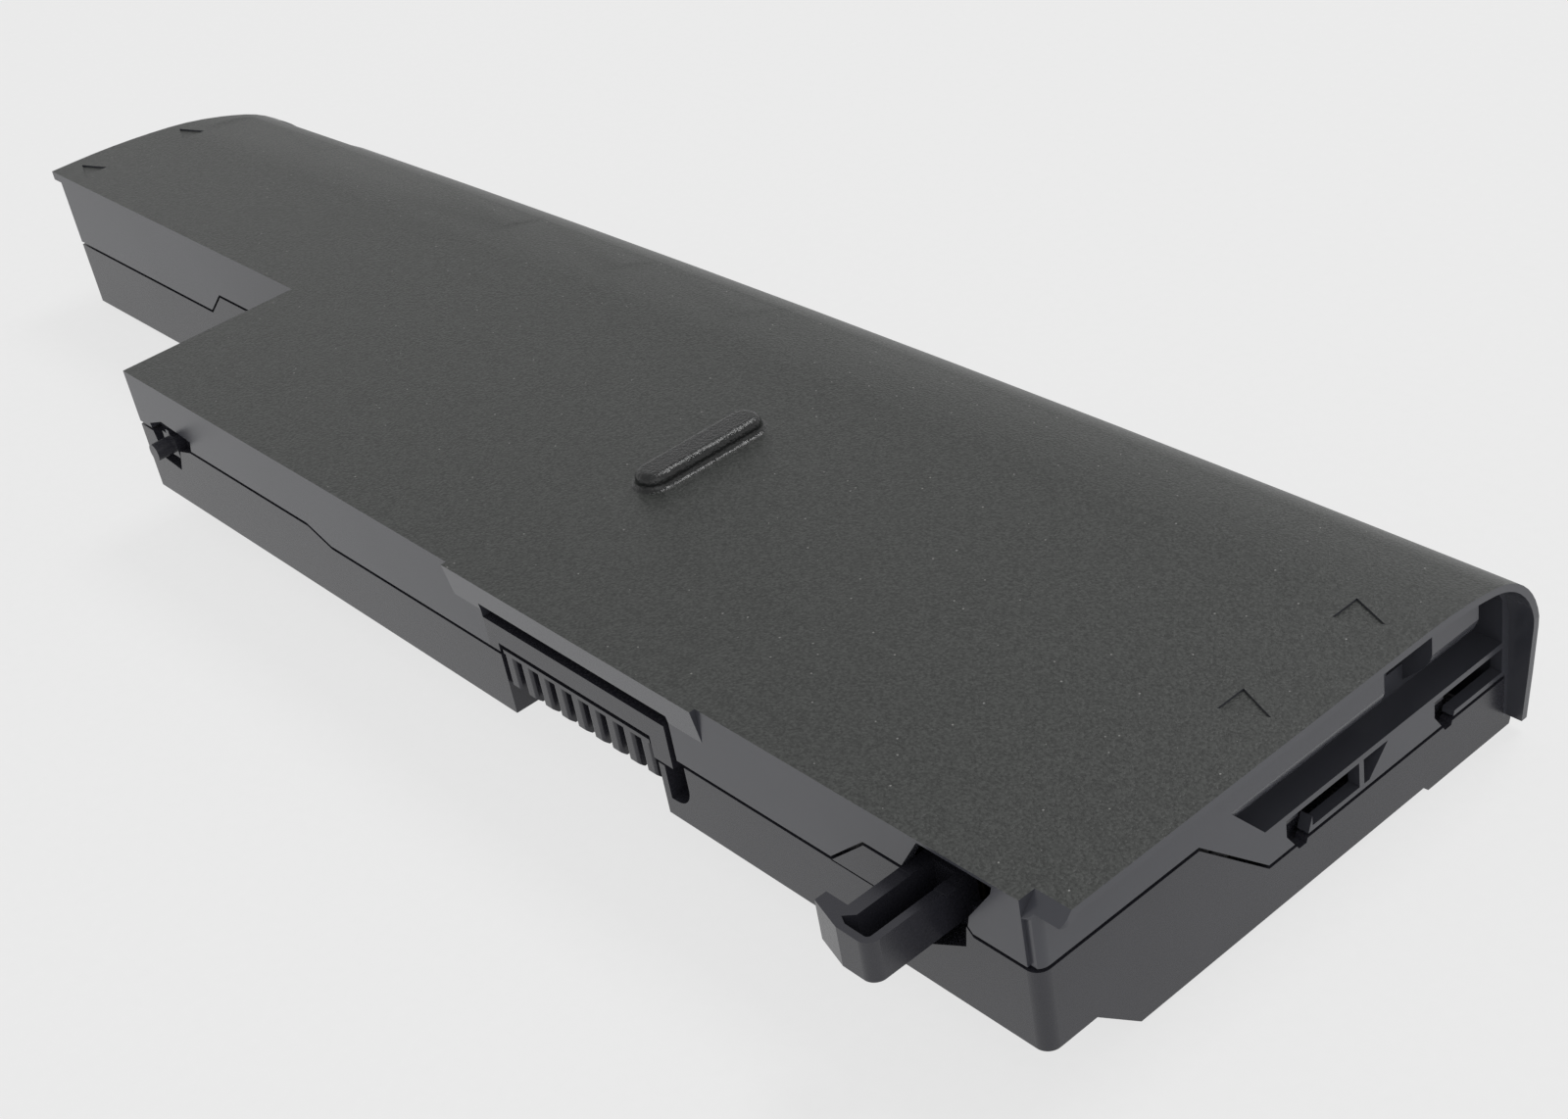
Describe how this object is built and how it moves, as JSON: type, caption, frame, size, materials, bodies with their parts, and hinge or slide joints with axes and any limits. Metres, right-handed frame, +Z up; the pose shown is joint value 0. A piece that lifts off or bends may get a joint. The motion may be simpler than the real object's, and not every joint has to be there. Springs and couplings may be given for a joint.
{
  "type": "laptop battery",
  "caption": "L-shaped laptop battery pack: two dark plastic shells with a rounded bowed back, a comb connector, a latch hook and a locating pin, with round cells and a protection board inside.",
  "frame": {"origin": "under the middle of the pack, at the height of its lowest face", "axes": "+X along the pack toward the hook end, +Y from the connector side to the rounded back, +Z up out of the grained face"},
  "size_m": [0.243, 0.0784, 0.025],
  "materials": {
    "cover_plastic": "fine grained matt, dark grey",
    "case_plastic": "satin, dark grey",
    "connector_plastic": "satin, dark grey",
    "contact_metal": "gold plated",
    "cell_sleeve": "shrunk sleeve",
    "ring_paper": "paper",
    "nickel": "rolled nickel strip",
    "board_laminate": "solder mask",
    "chip_resin": "moulded resin",
    "fuse_ceramic": "ceramic",
    "capacitor_ceramic": "ceramic",
    "bead_resin": "dipped resin",
    "cutoff_can": "drawn can",
    "power_insulation": "wire insulation",
    "sense_insulation": "wire insulation",
    "pad_foam": "foam",
    "card_fibre": "fibre card"
  },
  "bodies": {
    "root": {"top_cover": "cover_plastic", "bottom_case": "case_plastic", "connector_housing": "connector_plastic", "connector_contacts": "contact_metal", "cell_1": "cell_sleeve", "cell_2": "cell_sleeve", "cell_3": "cell_sleeve", "cell_4": "cell_sleeve", "cell_5": "cell_sleeve", "cell_6": "cell_sleeve", "cell_7": "cell_sleeve", "cell_8": "cell_sleeve", "cell_rings": "ring_paper", "tab_start": "nickel", "tab_link_1": "nickel", "tab_link_2": "nickel", "tab_link_3": "nickel", "tab_end": "nickel", "protection_board": "board_laminate", "gauge_chip": "chip_resin", "switch_transistors": "chip_resin", "chip_fuse": "fuse_ceramic", "sense_resistor": "chip_resin", "board_capacitors": "capacitor_ceramic", "thermistor": "bead_resin", "thermal_cutoff": "cutoff_can", "power_leads": "power_insulation", "sense_leads": "sense_insulation", "cell_pads": "pad_foam", "insulation_card": "card_fibre"}
  },
  "joints": []
}
